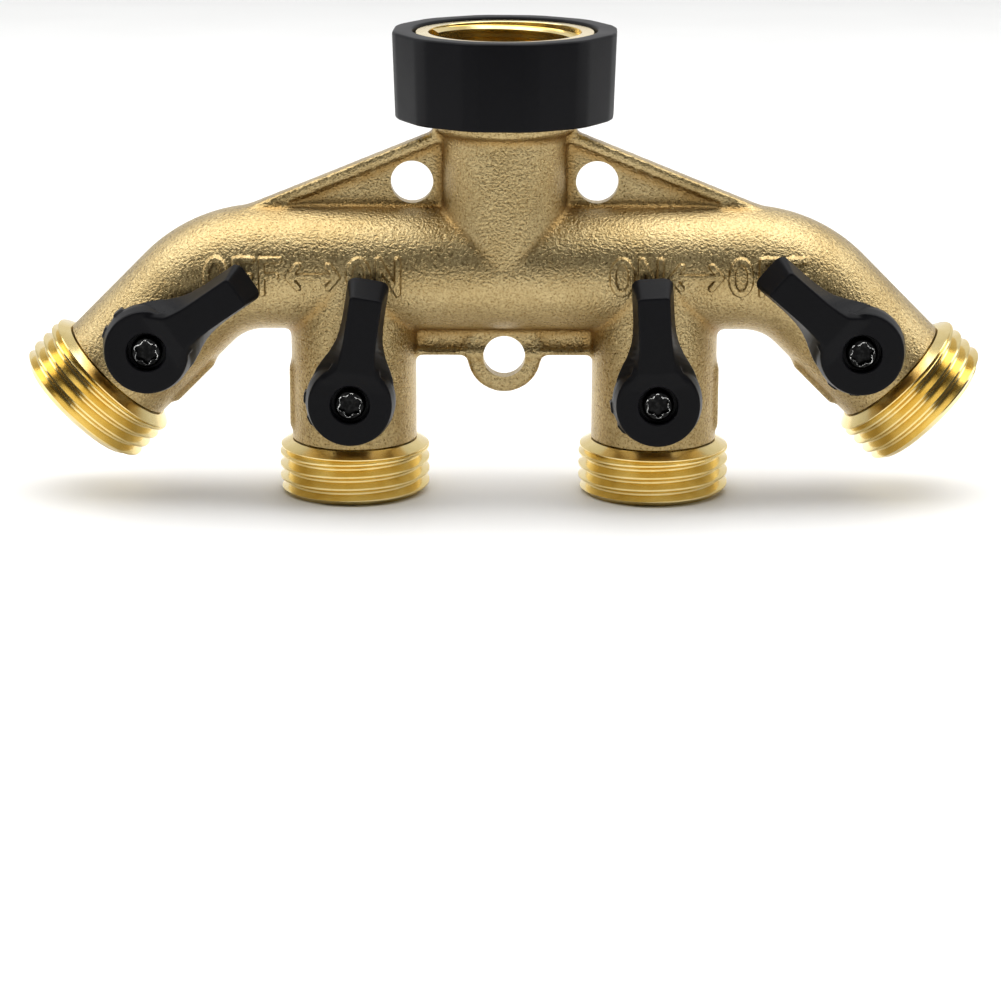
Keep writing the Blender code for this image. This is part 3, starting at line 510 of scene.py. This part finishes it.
def raiseMarking(obj):
    # refines the front of the manifold under the letters and lifts their strokes out of it
    m = marking
    strokes = markingStrokes()
    bm = bmesh.new()
    bm.from_mesh(obj.data)
    top = (m["centreZ"] + m["height"] / 2 + 1) * mm
    bottom = (m["centreZ"] - m["height"] / 2 - 1) * mm

    def nearStroke(point):
        flat = Vector((point.x / mm, point.z / mm))
        best = 99.0
        for start, end in strokes:
            span = end - start
            t = max(0.0, min(1.0, (flat - start).dot(span) / span.length_squared))
            best = min(best, (flat - start - span * t).length)
            if best < 0.1:
                break
        return best

    def inZone(point):
        return bottom < point.z < top and point.y < -9 * mm and 16 * mm < abs(point.x) < 56 * mm

    zone = [edge for edge in bm.edges if all(inZone(vert.co) for vert in edge.verts)
            and nearStroke(edge.verts[0].co) < 1.6]
    bmesh.ops.subdivide_edges(bm, edges=zone, cuts=2, use_grid_fill=True)
    for vert in bm.verts:
        if inZone(vert.co):
            gap = nearStroke(vert.co)
            rise = max(0.0, min(1.0, (m["stroke"] + m["ground"] - gap) / m["ground"]))
            vert.co.y -= m["raise"] * mm * rise * rise * (3 - 2 * rise)
    bm.to_mesh(obj.data)
    bm.free()


def markHollows(obj):
    # attribute: 1 in concave corners, 0 elsewhere
    bm = bmesh.new()
    bm.from_mesh(obj.data)
    bm.normal_update()
    depth = {}
    for vert in bm.verts:
        around = [edge.other_vert(vert).co for edge in vert.link_edges]
        middle = sum(around, Vector()) / len(around)
        depth[vert.index] = (middle - vert.co).dot(vert.normal)
    layer = bm.verts.layers.float.new("hollow")
    for vert in bm.verts:
        nearby = [depth[edge.other_vert(vert).index] for edge in vert.link_edges] + [depth[vert.index]]
        bend = sum(nearby) / len(nearby) / (0.035 * mm)
        vert[layer] = max(0.0, min(0.8, bend))
    bm.to_mesh(obj.data)
    bm.free()


def makeCasting(material):
    obj = newObject("body_casting_skin", castingSolids())
    meltTogether(obj, casting["voxel"], casting["softening"])
    markHollows(obj)
    machineCasting(obj)
    raiseMarking(obj)
    finishPiece(obj, material, "root", "body_casting", 40)
    print("casting:", len(obj.data.polygons), "faces")


# ---- outlet nipples

nipple = {"length": 10.0, "crest": 13.45, "root": 12.05, "pitch": 25.4 / 11.5, "bore": 8.5, "throat": 6.0,
          "flange": 13.25, "turns": 4.25, "start": -10.63, "steps": 96}


def threadRidge(innerRadius, outerRadius, bottom, turns, pitch, crestFlat, baseFlat, steps, inward=False):
    # closed strip of thread form, wound upwards from a height; all in millimetres
    base, crest = (outerRadius, innerRadius) if inward else (innerRadius, outerRadius)
    corners = [(base, -baseFlat / 2), (crest, -crestFlat / 2), (crest, crestFlat / 2), (base, baseFlat / 2)]
    bm = bmesh.new()
    face = bm.faces.new([bm.verts.new((radius * mm, 0, (bottom + height) * mm)) for radius,
                         height in corners])
    count = int(turns * steps)
    bmesh.ops.spin(bm, geom=[face] + list(face.edges) + list(face.verts), axis=(0, 0, 1),
                   angle=turns * math.tau,
                   dvec=(0, 0, pitch * turns / count * mm), steps=count)
    bmesh.ops.remove_doubles(bm, verts=bm.verts, dist=1e-7)
    bmesh.ops.recalc_face_normals(bm, faces=bm.faces)
    return bm


def makeNipple(name, material):
    n = nipple
    end = -n["length"]
    core = [(n["throat"], 2.05), (n["throat"], 1.0), (n["bore"], -1.0), (n["bore"], end + 0.3),
            (n["bore"] + 0.3, end),
            (n["root"] - 0.3, end), (n["root"], end + 0.3), (n["root"], -2.3), (n["flange"] - 0.4, -1.85),
            (n["flange"], -1.6), (n["flange"], -1.4), (11.35, -0.3), (9.6, -0.3), (9.6, 0), (8.3, 0),
            (8.3, 1.6),
            (9.6, 1.6), (9.6, 4.1), (9.4, 4.3), (8.5, 4.3), (8.3, 4.1), (8.3, 2.05)]
    obj = newObject("outlet_nipple_turned_" + name, spinProfile(core, n["steps"], closed=True))
    ridge = threadRidge(n["root"] - 0.15, n["crest"], n["start"], n["turns"], n["pitch"], 0.3, 2.08,
                        n["steps"])
    combine(obj, ridge, "UNION")
    trim = [(0, end - 3), (20, end - 3), (20, 0.5), (11.4, 0.5), (11.4, -0.28), (n["flange"] + 0.05, -1.35),
            (n["crest"] + 0.02, -1.8), (n["crest"] + 0.02, end + 1.1), (n["root"] + 0.3, end), (0, end)]
    combine(obj, spinProfile(trim, n["steps"]), "DIFFERENCE")
    obj.data.transform(outletPlace(name))
    finishPiece(obj, material, "root", "outlet_nipple_" + name, 30)


# ---- levers and their screws

lever = {
    "rest": {"outer_left": 34.6, "inner_left": 81.0, "inner_right": 93.2, "outer_right": 139.1},
    "hub": 7.95, "hubFace": 7.3, "back": 13.8, "face": 18.4, "armBack": 14.6, "armFace": 19.4, "tip": 22.0,
    "faceTip": 19.4, "counterbore": 3.4, "counterboreFloor": 16.4, "tabs": (95, 126), "tabRoot": 6.75,
    "tabReach": 8.3, "tabDepth": (12.1, 15.0),
    "voxel": 0.2, "softening": 6,
}


def armOutline(start, end, width, flare, flareReach, corner, reach):
    # half width swells towards the hub; the tip has rounded corners
    upper = []
    for step in range(15):
        x = start + (end - corner - start) * step / 14
        upper.append((x, width + flare * math.exp(-((x - 3) / flareReach) ** 2)))
    for step in range(1, 7):
        angle = math.pi / 2 * (1 - step / 6)
        upper.append((end - corner + corner * math.cos(angle),
                      upper[14][1] - corner + corner * math.sin(angle)))
    outline = upper + [(x, -z) for x, z in reversed(upper)]
    return [(x, -reach, z) for x, z in outline]


def loft(outlines):
    # closed solid between two outlines with the same number of points, in millimetres
    bm = bmesh.new()
    loops = []
    for outline in outlines:
        loops += list(bm.faces.new([bm.verts.new(Vector(point) * mm) for point in outline]).edges)
    bmesh.ops.bridge_loops(bm, edges=loops)
    bmesh.ops.recalc_face_normals(bm, faces=bm.faces)
    return bm


def leverSolid():
    v = lever
    body = bmesh.new()
    hub = spinProfile([(0, v["back"]), (v["hub"], v["back"]), (v["hub"] - 0.1, v["back"] + 2),
                       (v["hubFace"], v["face"]), (0, v["face"])], 96)
    gather(body, hub, Matrix.Rotation(math.pi / 2, 4, "X"))
    gather(body, loft([armOutline(3.0, v["tip"], 3.7, 3.6, 5.5, 1.2, v["armBack"]),
                       armOutline(5.9, v["faceTip"], 2.8, 0.75, 4.5, 0.5, v["armFace"])]))
    # the ramp from hub face to arm face
    foot = [(2.8, -v["face"] + 0.1, 5.9), (6.8, -v["face"] + 0.1, 4.3)]
    crest = [(5.9, -v["armFace"], 3.35), (6.8, -v["armFace"], 3.1)]
    gather(body, loft([half + [(x, y, -z) for x, y, z in reversed(half)] for half in (foot, crest)]))
    for angle in v["tabs"]:
        tab = plate([(v["tabRoot"], -1.0), (v["tabReach"], -1.0), (v["tabReach"], 1.0),
                     (v["tabRoot"], 1.0)],
                    -v["tabDepth"][1], -v["tabDepth"][0])
        gather(body, tab, Matrix.Rotation(-math.radians(angle), 4, "Y"))
    return body


def makeLevers(material):
    v = lever
    pattern = newObject("lever_pattern", leverSolid())
    meltTogether(pattern, v["voxel"], v["softening"])
    counterbore = spinProfile([(0, v["counterboreFloor"]), (v["counterbore"], v["counterboreFloor"]),
                               (v["counterbore"], v["face"] - 0.2),
                               (v["counterbore"] + 0.25, v["face"] + 0.1),
                               (v["counterbore"] + 0.25, 21), (0, 21)], 64)
    bmesh.ops.rotate(counterbore, verts=counterbore.verts, matrix=Matrix.Rotation(math.pi / 2, 3, "X"))
    combine(pattern, counterbore, "DIFFERENCE")
    combine(pattern, rod(1.8, (0, -12, 0), (0, -18, 0), 32), "DIFFERENCE")
    socket = newObject("socket", rod(3.5, (0, -12, 0), (0, -15.6, 0), 48))
    combine(socket, plate([(-2.6, -5), (2.6, -5), (2.6, 5), (-2.6, 5)], -17, -11), "INTERSECT")
    shape = bmesh.new()
    shape.from_mesh(socket.data)
    bpy.data.objects.remove(socket)
    combine(pattern, shape, "DIFFERENCE")
    for name in outletNames:
        obj = bpy.data.objects.new("lever_moulding_" + name, pattern.data.copy())
        bpy.context.scene.collection.objects.link(obj)
        obj.data.transform(leverPlace(name))
        finishPiece(obj, material, "valve_" + name, "lever_handle_" + name, 40)
    bpy.data.objects.remove(pattern)


screw = {"head": 2.75, "under": 16.7, "top": 18.1, "shank": 1.5, "shankEnd": 12.9, "lobeOut": 2.05,
         "lobeIn": 1.6,
         "recess": 1.2, "glintRim": 0.09, "steps": 72}


def screwSolid():
    # pan head with a six-lobe recess, facing +Z
    s = screw
    bm = spinProfile([(0, s["shankEnd"]), (s["shank"], s["shankEnd"]), (s["shank"], s["under"]),
                      (s["head"], s["under"]),
                      (s["head"], s["top"] - 0.55), (s["head"] - 0.15, s["top"] - 0.25),
                      (s["head"] - 0.45, s["top"]),
                      (0, s["top"])], s["steps"])
    recess = bmesh.new()
    bmesh.ops.create_cone(recess, cap_ends=True, segments=s["steps"], radius1=s["lobeOut"] * mm,
                          radius2=(s["lobeOut"] + 0.12) * mm, depth=(s["recess"] + 0.4) * mm,
                          matrix=Matrix.Translation((0, 0, (s["top"] - s["recess"] / 2 + 0.2) * mm)))
    middle = (s["lobeOut"] + s["lobeIn"]) / 2
    swing = (s["lobeOut"] - s["lobeIn"]) / 2
    for vert in recess.verts:
        angle = math.atan2(vert.co.y, vert.co.x)
        vert.co.xy *= (middle + swing * math.cos(6 * angle)) / s["lobeOut"]
    return bm, recess


def makeScrews(material, rimGlintMaterial):
    solid, recess = screwSolid()
    pattern = newObject("screw_pattern", solid)
    combine(pattern, recess, "DIFFERENCE")
    rim = bmesh.new()                   # bright bare steel on the recess's rim: a painted glint
    rim.from_mesh(pattern.data)
    top = screw["top"] * mm
    edges = [edge for edge in rim.edges if all(abs(vert.co.z - top) < 1e-6 and vert.co.xy.length < 2.2 * mm
             for vert in edge.verts) and len(edge.link_faces) == 2 and edge.calc_face_angle() > 1]
    # the bevel's faces take the bright steel: painted glint along the recess's rim
    glintRim = bmesh.ops.bevel(rim, geom=edges, offset=screw["glintRim"] * mm, offset_type="OFFSET", segments=2,
                           affect="EDGES", profile=0.5, material=-1)
    for face in glintRim["faces"]:
        face.material_index = 1
    rim.to_mesh(pattern.data)
    rim.free()
    pattern.data.transform(Matrix.Rotation(math.pi / 2, 4, "X"))
    for name in outletNames:
        obj = bpy.data.objects.new("lever_screw_six_lobe_" + name, pattern.data.copy())
        bpy.context.scene.collection.objects.link(obj)
        obj.data.transform(leverPlace(name))
        finishPiece(obj, material, "valve_" + name, "lever_screw_" + name, 30)
        obj.data.materials.append(rimGlintMaterial)
    bpy.data.objects.remove(pattern)


# ---- inlet

collar = {"radius": 19.9, "inner": 16.2, "bottom": 67.9, "top": 83.1, "facets": 12, "turn": 17.3,
          "flat": 0.85,
          "corner": 0.36, "steps": 240}
nut = {"radius": 15.9, "lipBore": 9.8, "bottom": 67.9, "lipTop": 69.9, "top": 82.7, "minor": 12.32,
       "major": 13.4}


def makeCollar(material):
    c = collar
    r = c["radius"]
    outline = roundedProfile([(c["inner"], c["bottom"]), (r - 0.5, c["bottom"]), (r, c["top"]),
                              (c["inner"], c["top"])], 0.55)
    bm = spinProfile(outline, c["steps"], closed=True)
    facet = math.tau / c["facets"]
    for vert in bm.verts:
        radius = math.hypot(vert.co.x, vert.co.y) / mm
        share = max(0.0, min(1.0, (radius - c["inner"]) / 1.5))
        angle = math.atan2(vert.co.y, vert.co.x) + math.radians(c["turn"])
        offset = abs((angle / facet) % 1.0 - 0.5) * facet
        softCorner = min(offset, facet * c["corner"])
        flatRadius = math.cos(facet * c["corner"]) / math.cos(softCorner)
        vert.co.xy *= 1 + (flatRadius - 1) * c["flat"] * share
    obj = newObject("collar_grip_moulding", bm)
    finishPiece(obj, material, "swivel", "collar_grip", 30)


def makeNut(material):
    n = nut
    core = [(n["lipBore"], n["bottom"]), (n["radius"], n["bottom"]), (n["radius"], n["top"] - 0.35),
            (n["radius"] - 0.35, n["top"]), (n["major"] + 0.1, n["top"]), (n["major"], n["top"] - 0.1),
            (n["major"], n["lipTop"]), (n["lipBore"], n["lipTop"])]
    obj = newObject("swivel_nut_turned", spinProfile(core, 128, closed=True))
    ridge = threadRidge(n["minor"], n["major"] + 0.25, n["lipTop"] + 4.2, 3.45, nipple["pitch"], 0.35, 1.85,
                        96,
                        inward=True)
    combine(obj, ridge, "UNION")
    finishPiece(obj, material, "swivel", "swivel_nut", 30)


# ---- inner pieces

def makeRing(name, node, body, outline, place, material, steps=72, rounding=0.0):
    outline = roundedProfile(outline, rounding) if rounding else outline
    bm = spinProfile(outline, steps, closed=True)
    bmesh.ops.transform(bm, matrix=place, verts=bm.verts)
    finishPiece(newObject(name, bm), material, body, node, 35)


def torusOutline(major, minor, height, sides=16):
    return [(major + minor * math.cos(math.tau * side / sides),
             height + minor * math.sin(math.tau * side / sides))
            for side in range(sides)]


def makeBall(name, material):
    radius, bore = 7.8, 4.8
    half = math.sqrt(radius ** 2 - bore ** 2)
    start = math.atan2(half, bore)
    outline = [(bore + 0.15, -half + 0.05), (bore, -half + 0.35), (bore, half - 0.35),
               (bore + 0.15, half - 0.05)]
    arc = [start * 0.96 - 2 * start * 0.96 * step / 24 for step in range(25)]
    outline += [(radius * math.cos(angle), radius * math.sin(angle)) for angle in arc]
    obj = newObject("valve_ball_lapped_" + name, spinProfile(outline, 72, closed=True))
    obj.data.transform(Matrix.Rotation(math.pi / 2, 4, "Y"))
    combine(obj, plate([(-1.3, -3.5), (1.3, -3.5), (1.3, 3.5), (-1.3, 3.5)], -9.0, -5.8), "DIFFERENCE")
    obj.data.transform(leverPlace(name))
    finishPiece(obj, material, "valve_" + name, "valve_ball_" + name, 35)


def makeStem(name, material):
    outline = [(0, 8.1), (4.4, 8.1), (4.6, 8.3), (4.6, 9.3), (3.2, 9.3), (3.2, 10.7), (1.85, 10.7),
               (1.85, 12.1),
               (3.2, 12.1), (3.2, 15.1), (3.0, 15.3), (1.8, 15.3), (1.8, 12.6), (0, 12.6)]
    bm = spinProfile(outline, 48)
    bmesh.ops.rotate(bm, verts=bm.verts, matrix=Matrix.Rotation(math.pi / 2, 3, "X"))
    obj = newObject("valve_stem_turned_" + name, bm)
    combine(obj, plate([(-1.0, -3.2), (1.0, -3.2), (1.0, 3.2), (-1.0, 3.2)], -8.6, -6.1), "UNION")
    for side in (-1, 1):
        combine(obj, plate([(side * 2.3, -5), (side * 6, -5), (side * 6, 5), (side * 2.3, 5)], -16.5,
                           -13.1),
                "DIFFERENCE")
    obj.data.transform(leverPlace(name))
    finishPiece(obj, material, "valve_" + name, "valve_stem_" + name, 35)


def makeInnerPieces(finishes):
    seatArc = []
    for step in range(9):
        radius = 7.2 - 2.0 * step / 8
        seatArc.append((radius, math.sqrt(8.1 ** 2 - radius ** 2)))
    seat = [(5.2, 7.5), (8.0, 7.5), (8.0, seatArc[0][1])] + seatArc
    valveCentre = Matrix.Translation((0, 0, casting["valveHeight"] * mm))
    facing = Matrix.Rotation(math.pi / 2, 4, "X")
    for name in outletNames:
        outlet = outletPlace(name)
        valve = leverPlace(name)
        flip = Matrix.Rotation(math.pi, 4, "Y")
        makeRing("ball_seat_ring_upstream_" + name, "ball_seat_upstream_" + name, "root", seat,
                 outlet @ valveCentre, finishes["ptfe"])
        makeRing("ball_seat_ring_downstream_" + name, "ball_seat_downstream_" + name, "root", seat,
                 outlet @ valveCentre @ flip, finishes["ptfe"])
        makeRing("nipple_seal_" + name, "nipple_o_ring_" + name, "root", torusOutline(9.1, 0.5, 0.8),
                 outlet,
                 finishes["rubber"])
        makeRing("stem_seal_" + name, "stem_o_ring_" + name, "valve_" + name, torusOutline(2.65, 0.5, 11.4),
                 valve @ facing, finishes["rubber"], 48)
        makeRing("stem_thrust_washer_" + name, "stem_washer_" + name, "valve_" + name,
                 [(3.5, 9.6), (4.6, 9.6), (4.6, 10.1), (3.5, 10.1)], valve @ facing, finishes["ptfe"], 48,
                 0.1)
        makeBall(name, finishes["chrome"])
        makeStem(name, finishes["stem"])
    level = Matrix.Identity(4)
    makeRing("swivel_seal", "swivel_o_ring", "root", torusOutline(9.0, 0.5, 68.9), level,
             finishes["rubber"])
    makeRing("hose_washer", "inlet_washer", "swivel",
             [(7.95, 72.2), (12.02, 72.2), (12.02, 75.3), (7.95, 75.3)],
             level, finishes["washer"], 96, 0.35)


# ---- stage, light and camera

view = {"elevation": 11.6, "distance": 594, "targetZ": 41.3, "lens": 119.76, "sensor": 36, "drop": 4.06,
        "swing": 0.058,
        "roll": 0.14}


def makeStage():
    bm = bmesh.new()
    bmesh.ops.create_grid(bm, x_segments=1, y_segments=1, size=4.0)
    floor = newObject("floor", bm)
    material, shader = newMaterial("pale painted board", {"Roughness": 0.6})
    coords = addNode(material, "ShaderNodeTexCoord")
    cloud = addNode(material, "ShaderNodeTexNoise", {"Scale": perMetre(60)}, {"Vector": (coords, "Object")})
    tone = colourRamp(material, cloud, "Fac", [(0.3, "#f2f2f1"), (0.7, "#f5f5f4")])
    material.node_tree.links.new(tone.outputs["Color"], shader.inputs["Base Color"])
    floor.data.materials.append(material)


def addAreaLight(name, place, target, size, power, colour="#ffffff"):
    light = bpy.data.lights.new(name, "AREA")
    light.shape = "RECTANGLE"
    light.size, light.size_y = size
    light.energy = power
    light.color = linearColour(colour)[:3]
    lamp = bpy.data.objects.new(name, light)
    bpy.context.scene.collection.objects.link(lamp)
    lamp.location = place
    lamp.rotation_euler = (Vector(target) - Vector(place)).to_track_quat("-Z", "Y").to_euler()


studio = {"front": 0.06, "back": 1.0, "overhead": (2.0, 0.85, 0.8), "overheadPower": 16.5, "sidePower": 2.4}


def makeLights():
    # a wide soft ceiling, a dim front and brighter sides, as in a light tent
    world = bpy.data.worlds.new("studio")
    bpy.context.scene.world = world
    world.use_nodes = True
    tree = world.node_tree
    coords = tree.nodes.new("ShaderNodeTexCoord")
    parts = tree.nodes.new("ShaderNodeSeparateXYZ")
    depth = tree.nodes.new("ShaderNodeMapRange")
    depth.inputs["From Min"].default_value = -0.1
    depth.inputs["From Max"].default_value = 1.0
    depth.inputs["To Min"].default_value = studio["front"]
    depth.inputs["To Max"].default_value = studio["back"]
    tree.links.new(coords.outputs["Generated"], parts.inputs[0])
    tree.links.new(parts.outputs["Y"], depth.inputs["Value"])
    tree.links.new(depth.outputs["Result"], tree.nodes["Background"].inputs["Strength"])
    tree.nodes["Background"].inputs["Color"].default_value = linearColour("#ffffff")
    centre = (0, 0, 0.04)
    width, depthSize, height = studio["overhead"]
    addAreaLight("overhead", (0, 0.02, height), (0, 0.02, 0), (width, depthSize), studio["overheadPower"])
    for side in (-1, 1):
        addAreaLight("side" + str(side), (side * 1.0, 0.15, 0.35), centre, (0.5, 0.6), studio["sidePower"])


def makeCamera():
    # long lens, looking past the object's lower half so that it stands high in the frame
    camera = bpy.data.cameras.new("front")
    camera.sensor_width = view["sensor"]
    camera.lens = view["lens"]
    camera.clip_start = 0.05
    obj = bpy.data.objects.new("front", camera)
    bpy.context.scene.collection.objects.link(obj)
    elevation = math.radians(view["elevation"])
    reach = view["distance"] * mm
    obj.location = (0, -reach * math.cos(elevation), view["targetZ"] * mm + reach * math.sin(elevation))
    pitch = math.radians(90 - view["elevation"] - view["drop"])
    turn = Matrix.Rotation(math.radians(view["swing"]), 3, "Z") @ Matrix.Rotation(pitch, 3, "X")
    obj.rotation_euler = (turn @ Matrix.Rotation(math.radians(view["roll"]), 3, "Z")).to_euler()
    bpy.context.scene.camera = obj
    bpy.context.scene.view_settings.view_transform = "Standard"


makeStage()
makeLights()
makeCamera()
print("stage, lights and camera")

makeCasting(castBrass())
for outletName in outletNames:
    makeNipple(outletName, machinedBrass(outletName, outletPlace(outletName)))
print("nipples")
makeLevers(mouldedPlastic("moulded black nylon", "#0e0e10", 0.36))
# the second screw finish is bright steel for the recess rims: a painted glint
makeScrews(blackenedSteel(), plainFinish("bright steel, painted glint", {"Metallic": 1.0, "Roughness": 0.25},
                                         ("#b8b8b6", "#e2e2e0"), 0.3, 0.003))
print("levers and screws")
makeCollar(mouldedPlastic("moulded black polypropylene", "#0f0f12", 0.42))
makeNut(machinedBrass("nut", Matrix.Identity(4)))
print("inlet")

innerFinishes = {
    "ptfe": plainFinish("white PTFE", {"Roughness": 0.45}, ("#e9e8e2", "#f1f0eb"), 1.5, 0.01),
    "rubber": plainFinish("nitrile rubber", {"Roughness": 0.6}, ("#101010", "#1a1a1a"), 0.6, 0.01),
    "washer": plainFinish("black hose-washer rubber", {"Roughness": 0.7}, ("#161616", "#242424"), 0.5,
                          0.02),
    "chrome": plainFinish("chromed brass", {"Metallic": 1.0, "Roughness": 0.08}, ("#c9cacc", "#d4d5d6"),
                          4.0, 0.001),
    "spring": plainFinish("spring steel", {"Metallic": 1.0, "Roughness": 0.3}, ("#84848a", "#9a9aa0"), 1.0,
                          0.004),
    "stem": plainFinish("turned brass stem", {"Metallic": 1.0, "Roughness": 0.25}, ("#c9983f", "#d8ab52"),
                        0.4, 0.01),
}
makeInnerPieces(innerFinishes)
ring = frame["nodes"]["retaining_ring"]
ring.data.materials.clear()
ring.data.materials.append(innerFinishes["spring"])
print("inner pieces")
